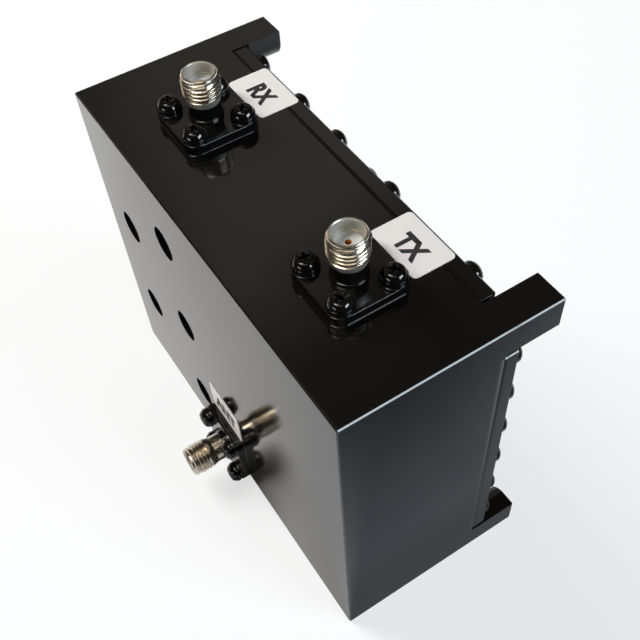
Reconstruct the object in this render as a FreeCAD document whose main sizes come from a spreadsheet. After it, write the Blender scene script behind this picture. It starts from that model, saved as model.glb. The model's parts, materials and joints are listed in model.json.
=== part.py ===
import FreeCAD, Part

import math
import os
import Sketcher

# A cavity duplexer: a block milled with two banks of five coaxial resonator
# cavities, closed by a screwed cover, with three flanged coaxial sockets.
# X runs along the block, Y from the antenna face to the cover, and Z is up.
# The origin is in the bottom face, midway along it, below the top sockets' axes.

sizes = (
    ("body_length", 80.0, "block, along X"),
    ("body_height", 65.5, "block, along Z"),
    ("body_depth", 27.0, "block, antenna face to cover seam"),
    ("edge_chamfer", 0.2, "outer edges of the block, and the ears' ends"),
    ("port_shift", 0.225, "top sockets' axes from mid-depth, towards the face"),
    ("cover_thickness", 2.85, "cover plate"),
    ("cover_edge_chamfer", 0.3, "rim of the cover's outer face"),
    ("ear_width", 5.7, "mounting ear, along X"),
    ("ear_height", 5.55, "mounting ear, along Z"),
    ("ear_corner_radius", 3.0, "ear's corner towards the cover"),
    ("ear_proud", 6.9, "ear beyond the cover's outer face"),
    ("ear_notch_gap", 0.45, "cover notch to ear, along X"),
    ("ear_notch_rise", 0.8, "cover notch to ear, along Z"),
    ("ear_thread_radius", 1.25, "tapped hole in an ear's end"),
    ("ear_thread_depth", 6.0, "tapped hole in an ear's end"),
    ("floor_thickness", 6.0, "antenna face to cavity floor"),
    ("cavity_radius", 7.2, "resonator cavity"),
    ("inner_column", 12.0, "inner cavities from the middle"),
    ("outer_column", 29.3, "outer cavities from the middle"),
    ("top_drop", 12.3, "first cavities below the top face"),
    ("bottom_rise", 10.2, "last cavities above the bottom face"),
    ("iris_width", 6.0, "coupling window between cavities"),
    ("iris_length", 11.0, "coupling window, along X"),
    ("iris_depth", 13.0, "coupling window, below the seam"),
    ("entry_width", 5.0, "slot from a top socket to its first cavity"),
    ("junction_width", 6.4, "slot that joins the two last cavities"),
    ("post_clear", 0.4, "end of a slot to a resonator post"),
    ("post_gap", 2.6, "post end to the cover's inner face"),
    ("milled_post_radius", 3.5, "transmit resonator, milled with the block"),
    ("post_radius", 3.0, "receive resonator, screwed in"),
    ("hat_radius", 5.2, "disc at a receive resonator's end"),
    ("hat_thickness", 2.0, "disc at a receive resonator's end"),
    ("counterbore_radius", 3.05, "for a resonator screw's head"),
    ("counterbore_depth", 3.3, "for a resonator screw's head"),
    ("post_screw_radius", 1.5, "resonator screw"),
    ("post_screw_clearance", 0.15, "resonator screw in the floor"),
    ("post_screw_grip", 6.0, "resonator screw inside the post"),
    ("post_screw_head_radius", 2.75, "resonator screw"),
    ("post_screw_head_height", 2.0, "resonator screw"),
    ("rx_port_offset", 20.1, "receive socket from the middle"),
    ("tx_port_offset", 20.8, "transmit socket from the middle"),
    ("ant_port_offset", 1.5, "antenna socket from the middle"),
    ("ant_port_height", 6.45, "antenna socket above the bottom face"),
    ("flange_side", 12.7, "square flange of a socket"),
    ("flange_thickness", 1.65, "square flange of a socket"),
    ("flange_corner", 2.0, "square flange of a socket"),
    ("flange_hole_spacing", 8.64, "flange holes, both ways"),
    ("flange_hole_radius", 1.3, "flange holes"),
    ("socket_height", 9.65, "face of the block to the socket's mouth"),
    ("base_ring_radius", 3.5, "step on the flange"),
    ("base_ring_height", 0.55, "step on the flange"),
    ("relief_radius", 2.65, "neck below the thread"),
    ("relief_length", 1.75, "neck below the thread"),
    ("taper_length", 0.95, "neck to thread"),
    ("thread_radius", 3.175, "socket's thread, over its crests"),
    ("lip_radius", 2.7, "plain lip in front of the thread"),
    ("lip_length", 1.55, "plain lip in front of the thread"),
    ("recess_radius", 2.3, "mouth of the socket"),
    ("recess_depth", 1.91, "mouth of the socket"),
    ("insulator_radius", 2.05, "insulator bead"),
    ("insulator_tail", 3.0, "insulator below the flange"),
    ("contact_radius", 0.635, "centre contact"),
    ("contact_bore_radius", 0.465, "hole for a plug's pin"),
    ("contact_bore_depth", 3.0, "hole for a plug's pin"),
    ("contact_tail", 2.0, "contact below the insulator"),
    ("slip", 0.03, "gap of what slides into a bore"),
    ("thread_gap", 0.02, "radial gap of a screw in its tapped hole"),
    ("flange_screw_radius", 1.0, "flange screw"),
    ("flange_screw_grip", 4.5, "flange screw inside the block"),
    ("flange_screw_head_radius", 1.85, "flange screw"),
    ("flange_screw_head_height", 1.6, "flange screw"),
    ("washer_radius", 1.8, "split washer"),
    ("washer_thickness", 0.5, "split washer"),
    ("washer_bore_gap", 0.1, "split washer to screw"),
    ("washer_split", 0.5, "split washer"),
    ("cover_screw_radius", 1.0, "cover screw"),
    ("cover_screw_clearance", 0.15, "cover screw in the cover"),
    ("cover_screw_grip", 4.6, "cover screw inside the block"),
    ("cover_screw_head_radius", 1.95, "cover screw"),
    ("cover_screw_head_height", 1.8, "cover screw"),
    ("cover_screw_inset", 2.4, "cover screws from the block's edges"),
    ("top_screw_a", -30.6, "top row of cover screws, along X"),
    ("top_screw_b", -17.7, "top row of cover screws, along X"),
    ("top_screw_c", -6.5, "top row of cover screws, along X"),
    ("top_screw_d", 8.0, "top row of cover screws, along X"),
    ("top_screw_e", 27.75, "top row of cover screws, along X"),
    ("side_screw_drop", 9.6, "first screw of a side row, below the top face"),
    ("side_screw_rise", 9.1, "last screw of a side row, above the bottom face"),
    ("bottom_screw_margin", 13.0, "bottom row of cover screws, from the block's ends"),
    ("middle_screw_offset", 2.2, "screws in the middle wall, from the middle"),
    ("middle_screw_drop", 3.9, "first screw in the middle wall, below the top face"),
    ("middle_screw_rise", 17.8, "last screw in the middle wall, above the bottom face"),
    ("tuning_screw_radius", 1.5, "tuning screw over a post"),
    ("tuning_screw_reach", 1.6, "tuning screw inside the cover"),
    ("tuning_screw_proud", 1.6, "tuning screw beyond its nut"),
    ("tuning_nut_flats", 5.5, "tuning screw's lock nut"),
    ("tuning_nut_height", 1.8, "tuning screw's lock nut"),
    ("coupling_screw_radius", 1.0, "coupling screw over a window"),
    ("coupling_screw_reach", 5.5, "coupling screw inside the cover"),
    ("coupling_screw_proud", 1.3, "coupling screw beyond its nut"),
    ("coupling_nut_flats", 4.0, "coupling screw's lock nut"),
    ("coupling_nut_height", 1.6, "coupling screw's lock nut"),
    ("driver_slot_width", 0.6, "slot in a tuning or coupling screw"),
    ("driver_slot_depth", 0.8, "slot in a tuning or coupling screw"),
    ("tap_wire_radius", 0.5, "wire from a contact to a post"),
    ("tap_end_gap", 0.02, "wire's end to the post"),
    ("label_length", 11.0, "stuck label, along X"),
    ("label_width", 7.4, "stuck label"),
    ("label_thickness", 0.12, "stuck label"),
    ("label_corner", 0.75, "stuck label"),
    ("top_label_shift", 0.2, "top labels from midway between flange and cover face"),
    ("rx_label_offset", 21.2, "receive label from the middle"),
    ("tx_label_offset", 20.3, "transmit label from the middle"),
    ("ant_label_offset", 1.3, "antenna label from the middle"),
    ("ant_label_gap", 0.1, "antenna label above its flange"),
)

cavity_count = 5
side_screw_count = 6
bottom_screw_count = 6
middle_screw_count = 4

# Small screws, washers and their holes repeat many times, so each is a prism with
# a few sides: true circles there would be most of the part's faces.
fastener_sides = 8

doc = FreeCAD.newDocument("duplexer")
sheet = doc.addObject("Spreadsheet::Sheet", "sizes")
for row, (alias, value, meaning) in enumerate(sizes, start=1):
    sheet.set("A%d" % row, alias)
    sheet.set("B%d" % row, str(value))
    sheet.set("C%d" % row, meaning)
    sheet.setAlias("B%d" % row, alias)
doc.recompute()


def size(alias):
    return float(sheet.get(alias))


# Places along Y, from the antenna face through the block and its cover.
seam_term = "((sizes.body_depth - sizes.cover_thickness) / 2 + sizes.port_shift)"
face_term = "-((sizes.body_depth + sizes.cover_thickness) / 2 - sizes.port_shift)"
face = size("port_shift") - (size("body_depth") + size("cover_thickness")) / 2
seam = face + size("body_depth")
cover_face = seam + size("cover_thickness")
ear_end = cover_face + size("ear_proud")
floor = face + size("floor_thickness")
half_length = size("body_length") / 2
height = size("body_height")


def spread(first, last, count):
    """Evenly spaced places from the first to the last."""
    return [first + (last - first) * step / (count - 1) for step in range(count)]


# The rows of cavities are spread evenly from the first to the last.
def row_term(step):
    share = step / (cavity_count - 1)
    return ("(%.4f * (sizes.body_height - sizes.top_drop) + %.4f * sizes.bottom_rise)"
            % (1 - share, share))


def row_height(step):
    share = step / (cavity_count - 1)
    return (1 - share) * (height - size("top_drop")) + share * size("bottom_rise")


def cavity_terms(bank, step):
    """Across and up, as sheet expressions, of one cavity's axis."""
    column = "sizes.inner_column" if step % 2 == 0 else "sizes.outer_column"
    return "%d * %s" % (bank, column), row_term(step)


def cavity_place(bank, step):
    column = size("inner_column") if step % 2 == 0 else size("outer_column")
    return bank * column, row_height(step)


def window_place(bank, step):
    across = bank * (size("inner_column") + size("outer_column")) / 2
    return across, row_height(step + 0.5)


# Sketches and features of the sub-parts that are PartDesign bodies.
def new_body(label):
    body = doc.addObject("PartDesign::Body", label)
    body.Label = label
    return body


def new_sketch(body, name, role="XZ_Plane", offset=None):
    """A sketch on the body's own plane. On XZ its normal is -Y, so offset is
    the sketch's place along -Y there, and along the plane's normal elsewhere."""
    sketch = body.newObject("Sketcher::SketchObject", name)
    for plane in body.Origin.OriginFeatures:
        if plane.Role == role:
            sketch.AttachmentSupport = (plane, [""])
    sketch.MapMode = "FlatFace"
    if offset:
        sketch.setExpression("AttachmentOffset.Base.z", offset)
    return sketch


def bind(sketch, kind, geometry, point, term):
    index = sketch.addConstraint(Sketcher.Constraint(kind, geometry, point, 1.0))
    sketch.setExpression("Constraints[%d]" % index, term)


def draw_polygon(sketch, corners):
    first = sketch.GeometryCount
    count = len(corners)
    rough = []
    for turn in range(count):
        angle = 2 * math.pi * turn / count
        rough.append(FreeCAD.Vector(10 * math.cos(angle), 10 * math.sin(angle), 0))
    for turn in range(count):
        line = Part.LineSegment(rough[turn], rough[(turn + 1) % count])
        sketch.addGeometry(line, False)
    for turn in range(count):
        after = first + (turn + 1) % count
        sketch.addConstraint(Sketcher.Constraint("Coincident", first + turn, 2, after, 1))
    for turn, (across, up) in enumerate(corners):
        bind(sketch, "DistanceX", first + turn, 1, across)
        bind(sketch, "DistanceY", first + turn, 1, up)


def draw_rectangle(sketch, left, low, right, high):
    draw_polygon(sketch, [(left, low), (right, low), (right, high), (left, high)])


def draw_circle(sketch, across, up, radius):
    circle = Part.Circle(FreeCAD.Vector(1, 1, 0), FreeCAD.Vector(0, 0, 1), 1.0)
    index = sketch.addGeometry(circle, False)
    bind(sketch, "DistanceX", index, 3, across)
    bind(sketch, "DistanceY", index, 3, up)
    radius_index = sketch.addConstraint(Sketcher.Constraint("Radius", index, 1.0))
    sketch.setExpression("Constraints[%d]" % radius_index, radius)


def add_pad(body, sketch, length, towards_y=False):
    pad = body.newObject("PartDesign::Pad", sketch.Name + "_pad")
    pad.Profile = sketch
    pad.Reversed = towards_y
    pad.setExpression("Length", length)
    doc.recompute()
    return pad


def add_pocket(body, sketch, depth, into_y=False):
    """Cuts from the sketch towards -Y, or towards +Y where into_y is set."""
    before = body.Shape.Volume
    pocket = body.newObject("PartDesign::Pocket", sketch.Name + "_pocket")
    pocket.Profile = sketch
    pocket.Reversed = not into_y
    pocket.setExpression("Length", depth)
    doc.recompute()
    if body.Shape.Volume >= before:
        raise RuntimeError(pocket.Name + " cuts nothing")
    return pocket


def dress_edges(body, kind, chosen, setting, term):
    """A fillet or chamfer on the edges of the body that the function chosen picks."""
    base = body.Tip
    names = []
    for number, edge in enumerate(base.Shape.Edges, start=1):
        if chosen(edge):
            names.append("Edge%d" % number)
    dressed = body.newObject("PartDesign::" + kind, "%s_%s" % (body.Name, kind.lower()))
    dressed.Base = (base, names)
    dressed.setExpression(setting, term)
    doc.recompute()
    return dressed


def round_edges(body, chosen, radius):
    return dress_edges(body, "Fillet", chosen, "Radius", radius)


def chamfer_edges(body, chosen, width):
    return dress_edges(body, "Chamfer", chosen, "Size", width)


def add_revolution(body, sketch, axis_role="Z_Axis"):
    spun = body.newObject("PartDesign::Revolution", sketch.Name + "_turned")
    spun.Profile = sketch
    for axis in body.Origin.OriginFeatures:
        if axis.Role == axis_role:
            spun.ReferenceAxis = (axis, [""])
    spun.Angle = 360
    doc.recompute()
    return spun


def close(left, right):
    return abs(left - right) < 0.001


def box_of(edge):
    box = edge.BoundBox
    return box.XMin, box.XMax, box.YMin, box.YMax, box.ZMin, box.ZMax


# Prisms, cuts and groups of the small pieces.
def few_sided(name, radius, length, start="0", sides=fastener_sides):
    """A prism along Z from start, with its corners at the radius."""
    prism = doc.addObject("Part::Prism", name)
    prism.Polygon = sides
    prism.setExpression("Circumradius", radius)
    prism.setExpression("Height", length)
    prism.setExpression("Placement.Base.z", start)
    return prism


def slot_bar(name, width, depth, reach, top, start="0"):
    """A bar along X, from start to reach, that cuts a slot down from top."""
    bar = doc.addObject("Part::Box", name)
    bar.setExpression("Length", "%s - (%s)" % (reach, start))
    bar.setExpression("Width", width)
    bar.setExpression("Height", depth)
    bar.setExpression("Placement.Base.x", start)
    bar.setExpression("Placement.Base.y", "-%s / 2" % width)
    bar.setExpression("Placement.Base.z", "%s - %s" % (top, depth))
    return bar


def combined(kind, label, base, tool):
    """Part::Cut or Part::Fuse of two objects."""
    result = doc.addObject("Part::" + kind, label)
    result.Label = label
    result.Base = base
    result.Tool = tool
    doc.recompute()
    return result


def plain_feature(label, shape):
    feature = doc.addObject("Part::Feature", label)
    feature.Label = label
    feature.Shape = shape
    return feature


def copies_of(prototype, placements):
    copies = []
    for placement in placements:
        copy = prototype.Shape.copy()
        copy.Placement = placement
        copies.append(copy)
    return copies


def group_of(label, prototype, placements):
    """One node of like solids, each a copy of a prototype's shape."""
    return plain_feature(label, Part.makeCompound(copies_of(prototype, placements)))


def turned_to(axis):
    """Turns a piece that is made along +Z to stand along another direction."""
    return FreeCAD.Rotation(FreeCAD.Vector(0, 0, 1), axis)


towards_cover = turned_to(FreeCAD.Vector(0, 1, 0))
towards_face = turned_to(FreeCAD.Vector(0, -1, 0))


def places_along_y(spots, level, turn=towards_cover):
    return [FreeCAD.Placement(FreeCAD.Vector(across, level, up), turn)
            for across, up in spots]


# Where the small pieces go, across and up on the cover or the antenna face.
def cover_screw_spots():
    inset = size("cover_screw_inset")
    spots = [(size("top_screw_" + letter), height - inset) for letter in "abcde"]
    side_rows = spread(height - size("side_screw_drop"), size("side_screw_rise"),
                       side_screw_count)
    for side in (-1, 1):
        spots += [(side * (half_length - inset), up) for up in side_rows]
    reach = half_length - size("bottom_screw_margin")
    spots += [(across, inset) for across in spread(-reach, reach, bottom_screw_count)]
    middle_rows = spread(height - size("middle_screw_drop"), size("middle_screw_rise"),
                         middle_screw_count)
    spots += [(size("middle_screw_offset"), up) for up in middle_rows]
    return spots


post_spots = [cavity_place(-1, step) for step in range(cavity_count)]
tuning_spots = [cavity_place(bank, step) for bank in (-1, 1) for step in range(cavity_count)]
coupling_spots = [window_place(bank, step)
                  for bank in (-1, 1) for step in range(cavity_count - 1)]

# The sockets: each one's place on the block, with its own axis as Z.
sockets = (
    ("rx", FreeCAD.Placement(FreeCAD.Vector(-size("rx_port_offset"), 0, height),
                             FreeCAD.Rotation())),
    ("tx", FreeCAD.Placement(FreeCAD.Vector(size("tx_port_offset"), 0, height),
                             FreeCAD.Rotation())),
    ("ant", FreeCAD.Placement(FreeCAD.Vector(-size("ant_port_offset"), face,
                                             size("ant_port_height")), towards_face)),
)


def flange_places(level):
    """The four flange holes, at a level above the flange's underside."""
    half_spacing = size("flange_hole_spacing") / 2
    return [FreeCAD.Placement(FreeCAD.Vector(side * half_spacing, up * half_spacing, level),
                              FreeCAD.Rotation())
            for side, up in ((-1, -1), (1, -1), (1, 1), (-1, 1))]


# The block, milled from one piece with its ears and the transmit posts.
def make_block():
    body = new_body("block")
    half = "sizes.body_length / 2"
    outline = new_sketch(body, "block_outline", offset="-(%s)" % face_term)
    draw_rectangle(outline, "-" + half, "0 mm", half, "sizes.body_height")
    add_pad(body, outline, "sizes.body_depth", towards_y=True)

    ears = new_sketch(body, "ears", offset="-(%s)" % seam_term)
    for left, right in (("-" + half, "-%s + sizes.ear_width" % half),
                        (half + " - sizes.ear_width", half)):
        for low, high in (("0 mm", "sizes.ear_height"),
                          ("sizes.body_height - sizes.ear_height", "sizes.body_height")):
            draw_rectangle(ears, left, low, right, high)
    add_pad(body, ears, "sizes.cover_thickness + sizes.ear_proud", towards_y=True)

    def is_ear_corner(edge):
        left, right, near, far, low, high = box_of(edge)
        on_side = close(left, right) and close(abs(left), half_length - size("ear_width"))
        in_height = close(low, size("ear_height")) or close(low, height - size("ear_height"))
        return on_side and in_height and close(low, high) and close(far, ear_end)

    def is_outer(edge):
        left, right, near, far, low, high = box_of(edge)
        along_y = far - near > size("body_depth")
        on_end = close(near, far) and (close(near, face) or close(near, ear_end))
        return along_y or on_end

    round_edges(body, is_ear_corner, "sizes.ear_corner_radius")
    chamfer_edges(body, is_outer, "sizes.edge_chamfer")

    cavity_depth = "sizes.body_depth - sizes.floor_thickness"
    cavities = new_sketch(body, "cavities", offset="-(%s)" % seam_term)
    for bank in (-1, 1):
        for step in range(cavity_count):
            across, up = cavity_terms(bank, step)
            draw_circle(cavities, across, up, "sizes.cavity_radius")
            if bank > 0:
                draw_circle(cavities, across, up, "sizes.milled_post_radius")
    add_pocket(body, cavities, cavity_depth)

    tops = new_sketch(body, "post_tops", offset="-(%s)" % seam_term)
    for step in range(cavity_count):
        across, up = cavity_terms(1, step)
        draw_circle(tops, across, up, "sizes.milled_post_radius + sizes.post_clear")
    add_pocket(body, tops, "sizes.post_gap")

    windows = new_sketch(body, "windows", offset="-(%s)" % seam_term)
    middle = "(sizes.inner_column + sizes.outer_column) / 2"
    for bank in (-1, 1):
        for step in range(cavity_count - 1):
            up = row_term(step + 0.5)
            draw_rectangle(windows,
                           "%d * %s - sizes.iris_length / 2" % (bank, middle),
                           up + " - sizes.iris_width / 2",
                           "%d * %s + sizes.iris_length / 2" % (bank, middle),
                           up + " + sizes.iris_width / 2")
    add_pocket(body, windows, "sizes.iris_depth")

    slots = new_sketch(body, "slots", offset="-(%s)" % seam_term)
    outer_side = "(sizes.inner_column + sizes.milled_post_radius + sizes.post_clear)"
    inner_side = "(sizes.inner_column - sizes.milled_post_radius - sizes.post_clear)"
    low = row_term(0) + " - sizes.entry_width / 2"
    high = row_term(0) + " + sizes.entry_width / 2"
    draw_rectangle(slots, "-sizes.rx_port_offset - sizes.entry_width / 2", low,
                   "-" + outer_side, high)
    draw_rectangle(slots, outer_side, low,
                   "sizes.tx_port_offset + sizes.entry_width / 2", high)
    junction = "(sizes.ant_port_height + %s) / 2" % row_term(cavity_count - 1)
    draw_rectangle(slots, "-" + inner_side, junction + " - sizes.junction_width / 2",
                   inner_side, junction + " + sizes.junction_width / 2")
    add_pocket(body, slots, cavity_depth)

    ends = new_sketch(body, "ear_threads",
                      offset="-(%s) - sizes.cover_thickness - sizes.ear_proud" % seam_term)
    for side in ("-1", "1"):
        for up in ("sizes.ear_height / 2", "sizes.body_height - sizes.ear_height / 2"):
            draw_circle(ends, "%s * (%s - sizes.ear_width / 2)" % (side, half), up,
                        "sizes.ear_thread_radius")
    add_pocket(body, ends, "sizes.ear_thread_depth")

    heads = new_sketch(body, "counterbores", offset="-(%s)" % face_term)
    for step in range(cavity_count):
        across, up = cavity_terms(-1, step)
        draw_circle(heads, across, up, "sizes.counterbore_radius")
    add_pocket(body, heads, "sizes.counterbore_depth", into_y=True)

    bore_radius = "sizes.insulator_radius + sizes.slip"
    side_bore = new_sketch(body, "antenna_bore", offset="-(%s)" % face_term)
    draw_circle(side_bore, "-sizes.ant_port_offset", "sizes.ant_port_height", bore_radius)
    add_pocket(body, side_bore, "sizes.floor_thickness", into_y=True)
    top_bores = new_sketch(body, "top_bores", "XY_Plane", "sizes.body_height")
    for across in ("-sizes.rx_port_offset", "sizes.tx_port_offset"):
        draw_circle(top_bores, across, "0 mm", bore_radius)
    add_pocket(body, top_bores, "sizes.top_drop", into_y=True)
    return body


def make_housing():
    """The block with the small holes that its screws need."""
    cover_depth = "sizes.cover_screw_grip + sizes.slip"
    flange_depth = "sizes.flange_screw_grip + sizes.slip"
    floor_depth = "sizes.floor_thickness - sizes.counterbore_depth"
    cover_core = few_sided("cover_screw_core", "sizes.cover_screw_radius + sizes.thread_gap",
                           cover_depth, "-(%s)" % cover_depth)
    flange_core = few_sided("flange_screw_core", "sizes.flange_screw_radius + sizes.thread_gap",
                            flange_depth, "-(%s)" % flange_depth)
    floor_hole = few_sided("floor_hole", "sizes.post_screw_radius + sizes.post_screw_clearance",
                           floor_depth, "-(%s)" % floor_depth)
    doc.recompute()
    holes = drilled(cover_core, places_along_y(cover_screw_spots(), seam))
    for name, seat in sockets:
        holes += drilled(flange_core, [seat.multiply(place) for place in flange_places(0)])
    screw_seat = face + size("counterbore_depth")
    holes += drilled(floor_hole, places_along_y(post_spots, screw_seat, towards_face))
    tools = plain_feature("housing_holes", Part.makeCompound(holes))
    return combined("Cut", "housing", make_block(), tools)


def drilled(prism, placements):
    """Copies of a prism, each moved from where it was made to its own place."""
    return [prism.Shape.transformed(placement.toMatrix()) for placement in placements]


# The cover, a plate with its corners notched round the ears.
def make_plate():
    body = new_body("plate")
    half = "sizes.body_length / 2"
    notch = "(sizes.ear_height + sizes.ear_notch_rise)"
    top = "sizes.body_height"
    inner = "(%s - sizes.ear_width - sizes.ear_notch_gap)" % half
    outline = new_sketch(body, "plate_outline", offset="-(%s)" % seam_term)
    draw_polygon(outline, [
        ("-" + inner, "0 mm"), (inner, "0 mm"), (inner, notch), (half, notch),
        (half, "%s - %s" % (top, notch)), (inner, "%s - %s" % (top, notch)),
        (inner, top), ("-" + inner, top), ("-" + inner, "%s - %s" % (top, notch)),
        ("-" + half, "%s - %s" % (top, notch)), ("-" + half, notch), ("-" + inner, notch)])
    add_pad(body, outline, "sizes.cover_thickness", towards_y=True)

    notch_side = half_length - size("ear_width") - size("ear_notch_gap")
    notch_rise = size("ear_height") + size("ear_notch_rise")

    def is_notch_corner(edge):
        left, right, near, far, low, high = box_of(edge)
        on_side = close(left, right) and close(abs(left), notch_side)
        in_height = close(low, notch_rise) or close(low, height - notch_rise)
        return on_side and in_height and close(low, high)

    def is_outer_rim(edge):
        left, right, near, far, low, high = box_of(edge)
        return close(near, cover_face) and close(far, cover_face)

    round_edges(body, is_notch_corner, "sizes.ear_corner_radius + sizes.ear_notch_gap")
    chamfer_edges(body, is_outer_rim, "sizes.cover_edge_chamfer")
    return body


def make_cover():
    through = "sizes.cover_thickness"
    screw_hole = few_sided("cover_screw_hole",
                           "sizes.cover_screw_radius + sizes.cover_screw_clearance", through)
    tuning_hole = few_sided("tuning_hole", "sizes.tuning_screw_radius + sizes.thread_gap",
                            through)
    coupling_hole = few_sided("coupling_hole", "sizes.coupling_screw_radius + sizes.thread_gap",
                              through)
    doc.recompute()
    holes = copies_of(screw_hole, places_along_y(cover_screw_spots(), seam))
    holes += copies_of(tuning_hole, places_along_y(tuning_spots, seam))
    holes += copies_of(coupling_hole, places_along_y(coupling_spots, seam))
    tools = plain_feature("cover_holes", Part.makeCompound(holes))
    return combined("Cut", "cover", make_plate(), tools)


# A round piece, turned about Z from half of its section.
def make_turned(label, corners):
    body = new_body(label)
    profile = new_sketch(body, label + "_profile")
    draw_polygon(profile, corners)
    add_revolution(body, profile)
    return body


# A flanged socket, made with its flange's underside at Z 0 and its mouth up.
def make_socket_shell():
    body = new_body("socket_body")
    flange = new_sketch(body, "flange", "XY_Plane")
    side = "sizes.flange_side / 2"
    draw_rectangle(flange, "-" + side, "-" + side, side, side)
    add_pad(body, flange, "sizes.flange_thickness")

    def is_corner(edge):
        left, right, near, far, low, high = box_of(edge)
        return close(left, right) and close(near, far)

    round_edges(body, is_corner, "sizes.flange_corner")
    barrel = new_sketch(body, "barrel")
    bore = "sizes.insulator_radius + sizes.slip"
    step = "sizes.flange_thickness + sizes.base_ring_height"
    neck = step + " + sizes.relief_length"
    thread = neck + " + sizes.taper_length"
    lip = "sizes.socket_height - sizes.lip_length"
    mouth = "sizes.socket_height - sizes.recess_depth"
    draw_polygon(barrel, [
        (bore, "0 mm"), ("sizes.base_ring_radius", "0 mm"), ("sizes.base_ring_radius", step),
        ("sizes.relief_radius", step), ("sizes.relief_radius", neck),
        ("sizes.thread_radius", thread), ("sizes.thread_radius", lip),
        ("sizes.lip_radius", lip), ("sizes.lip_radius", "sizes.socket_height"),
        ("sizes.recess_radius", "sizes.socket_height"),
        ("sizes.recess_radius", mouth), (bore, mouth)])
    add_revolution(body, barrel)
    throat = new_sketch(body, "throat", "XY_Plane")
    draw_circle(throat, "0 mm", "0 mm", bore)
    add_pocket(body, throat, "sizes.flange_thickness")

    hole = few_sided("flange_hole", "sizes.flange_hole_radius", "sizes.flange_thickness")
    doc.recompute()
    tools = plain_feature("flange_holes", Part.makeCompound(copies_of(hole, flange_places(0))))
    return combined("Cut", "socket_shell", body, tools)


def make_insulator():
    mouth = "sizes.socket_height - sizes.recess_depth"
    hole = "sizes.contact_radius + sizes.slip"
    return make_turned("socket_insulator", [
        (hole, "-sizes.insulator_tail"), ("sizes.insulator_radius", "-sizes.insulator_tail"),
        ("sizes.insulator_radius", mouth), (hole, mouth)])


def make_contact():
    mouth = "sizes.socket_height - sizes.recess_depth"
    tail = "-(sizes.insulator_tail + sizes.contact_tail)"
    deep = mouth + " - sizes.contact_bore_depth"
    return make_turned("socket_contact", [
        ("0 mm", tail), ("sizes.contact_radius", tail), ("sizes.contact_radius", mouth),
        ("sizes.contact_bore_radius", mouth), ("sizes.contact_bore_radius", deep),
        ("0 mm", deep)])


# A screw whose head is seated at Z 0, with its shank below.
def make_screw(label, kind, grip):
    head = few_sided(label + "_head", "sizes.%s_head_radius" % kind,
                     "sizes.%s_head_height" % kind)
    shank = few_sided(label + "_shank", "sizes.%s_radius" % kind, grip, "-(%s)" % grip)
    return combined("Fuse", label, head, shank)


def make_washer():
    disc = few_sided("washer_disc", "sizes.washer_radius", "sizes.washer_thickness")
    bore = few_sided("washer_bore", "sizes.flange_screw_radius + sizes.washer_bore_gap",
                     "sizes.washer_thickness")
    split = slot_bar("washer_split_bar", "sizes.washer_split", "sizes.washer_thickness",
                     "sizes.washer_radius", "sizes.washer_thickness")
    ring = combined("Cut", "washer_ring", disc, bore)
    return combined("Cut", "split_washer", ring, split)


# A headless screw with a driver slot: Z 0 is the cover's outer face.
def make_adjuster(label, kind):
    radius = "sizes.%s_screw_radius" % kind
    reach = "(sizes.cover_thickness + sizes.%s_screw_reach)" % kind
    proud = "(sizes.%s_nut_height + sizes.%s_screw_proud)" % (kind, kind)
    rod = few_sided(label + "_rod", radius, "%s + %s" % (reach, proud), "-" + reach)
    slot = slot_bar(label + "_slot", "sizes.driver_slot_width", "sizes.driver_slot_depth",
                    radius, proud, "-" + radius)
    return combined("Cut", label, rod, slot)


def make_nut(label, kind):
    tall = "sizes.%s_nut_height" % kind
    hexagon = few_sided(label + "_outside", "sizes.%s_nut_flats / sqrt(3)" % kind, tall,
                        sides=6)
    bore = few_sided(label + "_bore", "sizes.%s_screw_radius + sizes.thread_gap" % kind, tall)
    return combined("Cut", label, hexagon, bore)


# A receive resonator, made with its foot at Z 0 and its disc up.
def make_post():
    long = "(sizes.body_depth - sizes.floor_thickness - sizes.post_gap)"
    turned = make_turned("turned_post", [
        ("0 mm", "0 mm"), ("sizes.post_radius", "0 mm"),
        ("sizes.post_radius", long + " - sizes.hat_thickness"),
        ("sizes.hat_radius", long + " - sizes.hat_thickness"), ("sizes.hat_radius", long),
        ("0 mm", long)])
    core = few_sided("post_core", "sizes.post_screw_radius + sizes.thread_gap",
                     "sizes.post_screw_grip + sizes.slip")
    return combined("Cut", "post", turned, core)


# Wires of round section along straight runs with mitred corners.
def wire_along(points):
    runs = [Part.LineSegment(points[turn], points[turn + 1]).toShape()
            for turn in range(len(points) - 1)]
    section = Part.Wire(Part.makeCircle(size("tap_wire_radius"), points[0],
                                        points[1] - points[0]))
    right_corner = 1
    return Part.Wire(runs).makePipeShell([section], True, False, right_corner)


def post_side(bank, run):
    """Where a wire that comes along run meets the side of a bank's post."""
    radius = size("post_radius") if bank < 0 else size("milled_post_radius")
    return run.normalize() * (radius + size("tap_end_gap"))


def make_top_tap(label, bank, offset):
    across, up = cavity_place(bank, 0)
    tail = height - size("insulator_tail") - size("contact_tail")
    start = FreeCAD.Vector(bank * offset, 0, tail)
    corner = FreeCAD.Vector(bank * offset, 0, up)
    axis = FreeCAD.Vector(across, 0, up)
    return plain_feature(label, wire_along([start, corner,
                                            axis + post_side(bank, corner - axis)]))


def make_antenna_tap():
    """A wire between the last posts of both banks, and the stub that feeds it."""
    centre = FreeCAD.Vector(-size("ant_port_offset"), 0, size("ant_port_height"))
    ends = []
    for bank in (-1, 1):
        across, up = cavity_place(bank, cavity_count - 1)
        axis = FreeCAD.Vector(across, 0, up)
        ends.append(axis + post_side(bank, centre - axis))
    cross = wire_along([ends[0], centre, ends[1]])
    start = FreeCAD.Vector(centre.x, face + size("insulator_tail") + size("contact_tail"),
                           centre.z)
    stub = Part.makeCylinder(size("tap_wire_radius"), -start.y, start,
                             FreeCAD.Vector(0, 1, 0))
    return plain_feature("ant_tap", cross.fuse(stub))


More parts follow.
